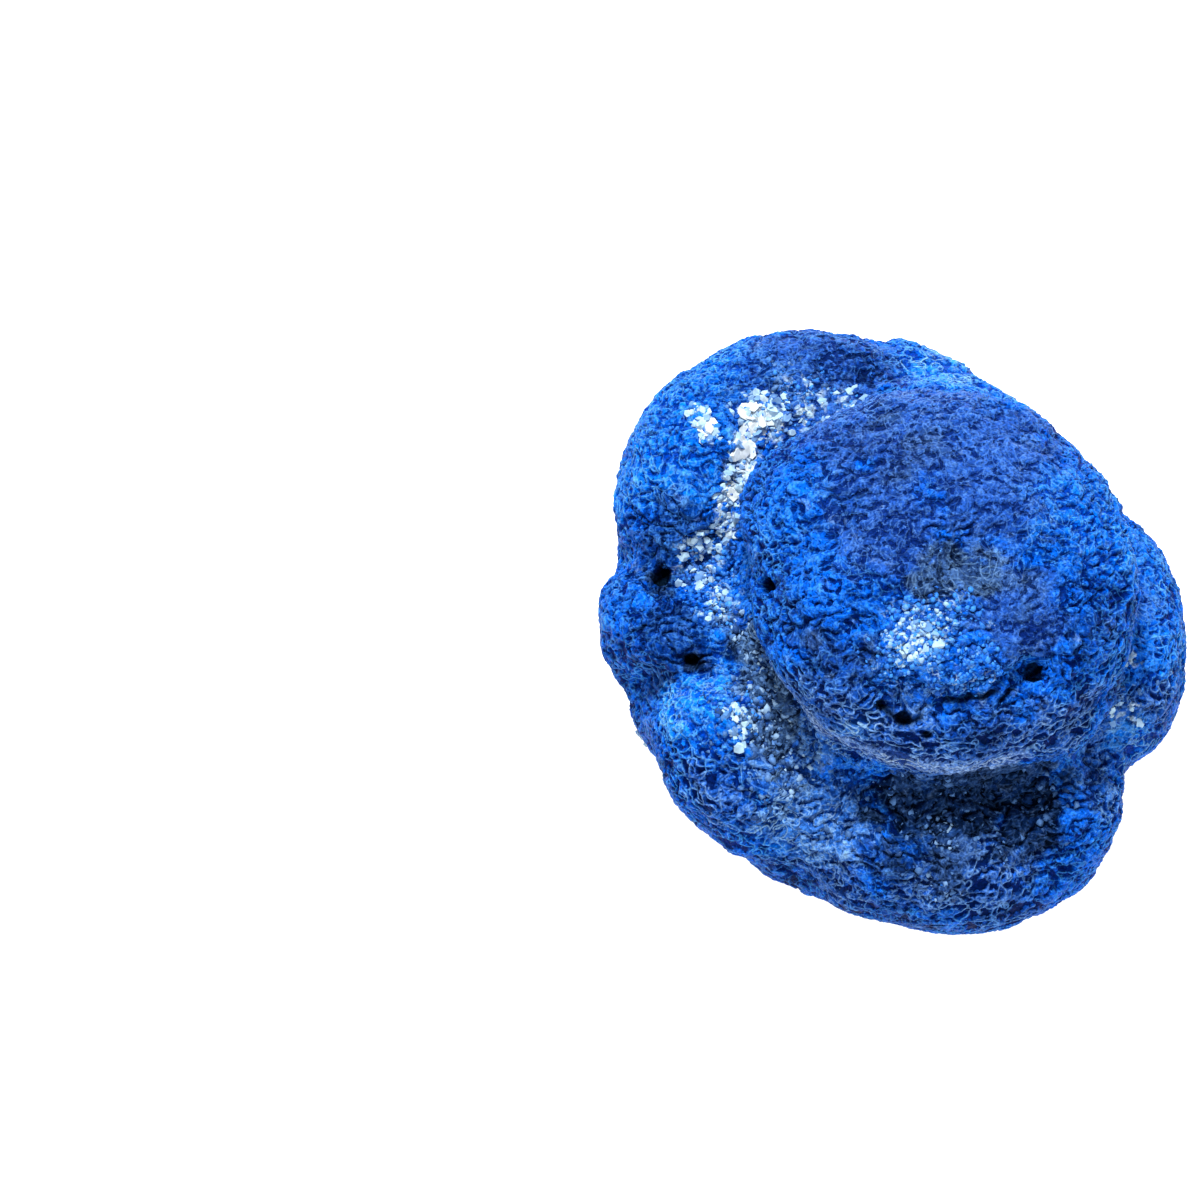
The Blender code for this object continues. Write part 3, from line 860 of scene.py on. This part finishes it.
def crust_material():
    """Azurite's crust: the mesh's own tint, finely mottled, with painted shade in its gaps and specks, and
    thin pale threads and flecks whose pale colour is painted highlight.
    """
    material, nodes, links = new_material("azurite_crust")
    shader = nodes["Principled BSDF"]
    shader.inputs["IOR"].default_value = 1.5
    shader.inputs["Specular IOR Level"].default_value = 0.05
    shader.inputs["Specular Tint"].default_value = (0.1, 0.5, 1.0, 1)
    tint, crest, deep = (attribute(nodes, name).outputs["Color"] for name in ("tint", "crest", "gap"))
    roughness, lace, depth = numbers(nodes, links, "finish_and_gap_shade")
    links.new(roughness, shader.inputs["Roughness"])

    flecks = mottle(nodes, links, FLECKS, 1.0, 0.8)
    # Dark specks: painted shade of tiny pits.
    speck_shade = mapped(nodes, links, flecks, 0.40, 0.33, 0.0, 0.6)
    # Pale flecks: painted glints.
    fleck_highlight = mapped(nodes, links, flecks, 0.60, 0.67, 0.0, 0.5)
    thread = threads_shown(nodes, links, lace)
    gap = gap_shade_shown(nodes, links, depth, speck_shade, thread)
    # Threads and flecks take the crest colour, which is painted highlight.
    colour = blended(nodes, links, worked(nodes, links, "MAXIMUM", thread, fleck_highlight), tint, crest)
    # Gaps and specks take the gap colour, which is painted shade.
    colour = blended(nodes, links, gap, colour, deep)
    stipple = mottle(nodes, links, STIPPLE, 2.0)
    colour = scaled(nodes, links, colour, mapped(nodes, links, stipple, 0.3, 0.7, 0.5, 1.5))
    links.new(colour, shader.inputs["Base Color"])

    relief = worked(nodes, links, "ADD", stipple, worked(nodes, links, "SUBTRACT", thread, gap))
    bump = add_node(nodes, "ShaderNodeBump", Strength=0.8, Distance=0.12 * MM)
    links.new(relief, bump.inputs["Height"])
    links.new(bump.outputs["Normal"], shader.inputs["Normal"])
    return material


def crystal_material(name):
    """Crystals in the mesh's own tint, faintly cloudy and slightly glossy."""
    material, nodes, links = new_material(name)
    shader = nodes["Principled BSDF"]
    shader.inputs["Roughness"].default_value = CRYSTAL_ROUGHNESS
    shader.inputs["IOR"].default_value = 1.5
    shader.inputs["Specular IOR Level"].default_value = 0.15
    shader.inputs["Specular Tint"].default_value = (0.5, 0.75, 1.0, 1)
    cloud = mapped(nodes, links, mottle(nodes, links, CLOUDS, 2.0), 0.3, 0.7, 0.75, 1.15)
    colour = scaled(nodes, links, attribute(nodes, "tint").outputs["Color"], cloud)
    links.new(colour, shader.inputs["Base Color"])
    return material


def floor_material():
    """White paper that is lit from below as well, so that the nodule's shade on it stays faint."""
    material, nodes, links = new_material("white_paper")
    shader = nodes["Principled BSDF"]
    shader.inputs["Base Color"].default_value = (0.55, 0.55, 0.55, 1)
    shader.inputs["Roughness"].default_value = 0.9
    shader.inputs["Emission Color"].default_value = (1, 1, 1, 1)
    shader.inputs["Emission Strength"].default_value = 0.75
    return material


# The floor, the lights and the camera.

def make_floor():
    half = FLOOR_SIDE / 2
    corners = np.array([(-half, -half), (half, -half), (half, half), (-half, half)])
    points = np.column_stack([corners, np.full(4, -MIDDLE[2])])
    mesh = mesh_from("floor", points, [np.array([[0, 1, 2, 3]])], [False])
    mesh.materials.append(floor_material())
    floor = new_object("floor", mesh)


def aim(obj, place, target):
    """Puts an object at a place, with its -Z at a target."""
    obj.location = place
    obj.rotation_mode = "QUATERNION"
    obj.rotation_quaternion = (target - place).to_track_quat("-Z", "Y")


def make_light(name, place, size, power):
    light = bpy.data.lights.new(name, "AREA")
    light.size = size * MM
    light.energy = power
    aim(new_object(name, light), Vector(place) * MM, Vector(MIDDLE) * MM)


def make_world():
    world = bpy.data.worlds.new("studio")
    world.use_nodes = True
    sky = world.node_tree.nodes["Background"]
    sky.inputs["Color"].default_value = (1, 1, 1, 1)
    sky.inputs["Strength"].default_value = SKY_STRENGTH
    bpy.context.scene.world = world


def make_camera():
    """Looks down at the nodule, which stands right of the frame's middle as in the photograph."""
    camera = bpy.data.cameras.new("camera")
    camera.lens = LENS
    camera.sensor_width = SENSOR
    camera.clip_start = 0.01
    camera.clip_end = 10.0
    tilt = math.radians(ELEVATION)
    right = Vector((1, 0, 0))
    up = Vector((0, math.sin(tilt), math.cos(tilt)))
    back = Vector((0, -math.cos(tilt), math.sin(tilt)))
    pixel = PHOTO_WIDTH / PHOTO_SIDE
    across = (NODULE_PIXEL[0] - PHOTO_SIDE / 2) * pixel
    down = (NODULE_PIXEL[1] - PHOTO_SIDE / 2) * pixel
    target = Vector(MIDDLE) - right * across + up * down
    place = target + back * (PHOTO_WIDTH * LENS / SENSOR)
    made = new_object("camera", camera)
    made.matrix_world = Matrix.Translation(place * MM) @ Matrix((right, up, back)).transposed().to_4x4()
    bpy.context.scene.camera = made


def main():
    points, normals, quads = rounded_form()
    crust, surface = grow_crust(points, normals, quads)
    for piece in crust:
        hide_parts(NODE)
    crystals = grow_crystals(points, normals, surface)
    for piece in crust + crystals:
        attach(piece, BODY)
    make_floor()
    make_world()
    for name, (place, size, power) in LIGHTS.items():
        make_light(name, place, size, power)
    make_camera()
    bpy.context.scene.view_settings.view_transform = "Standard"


main()
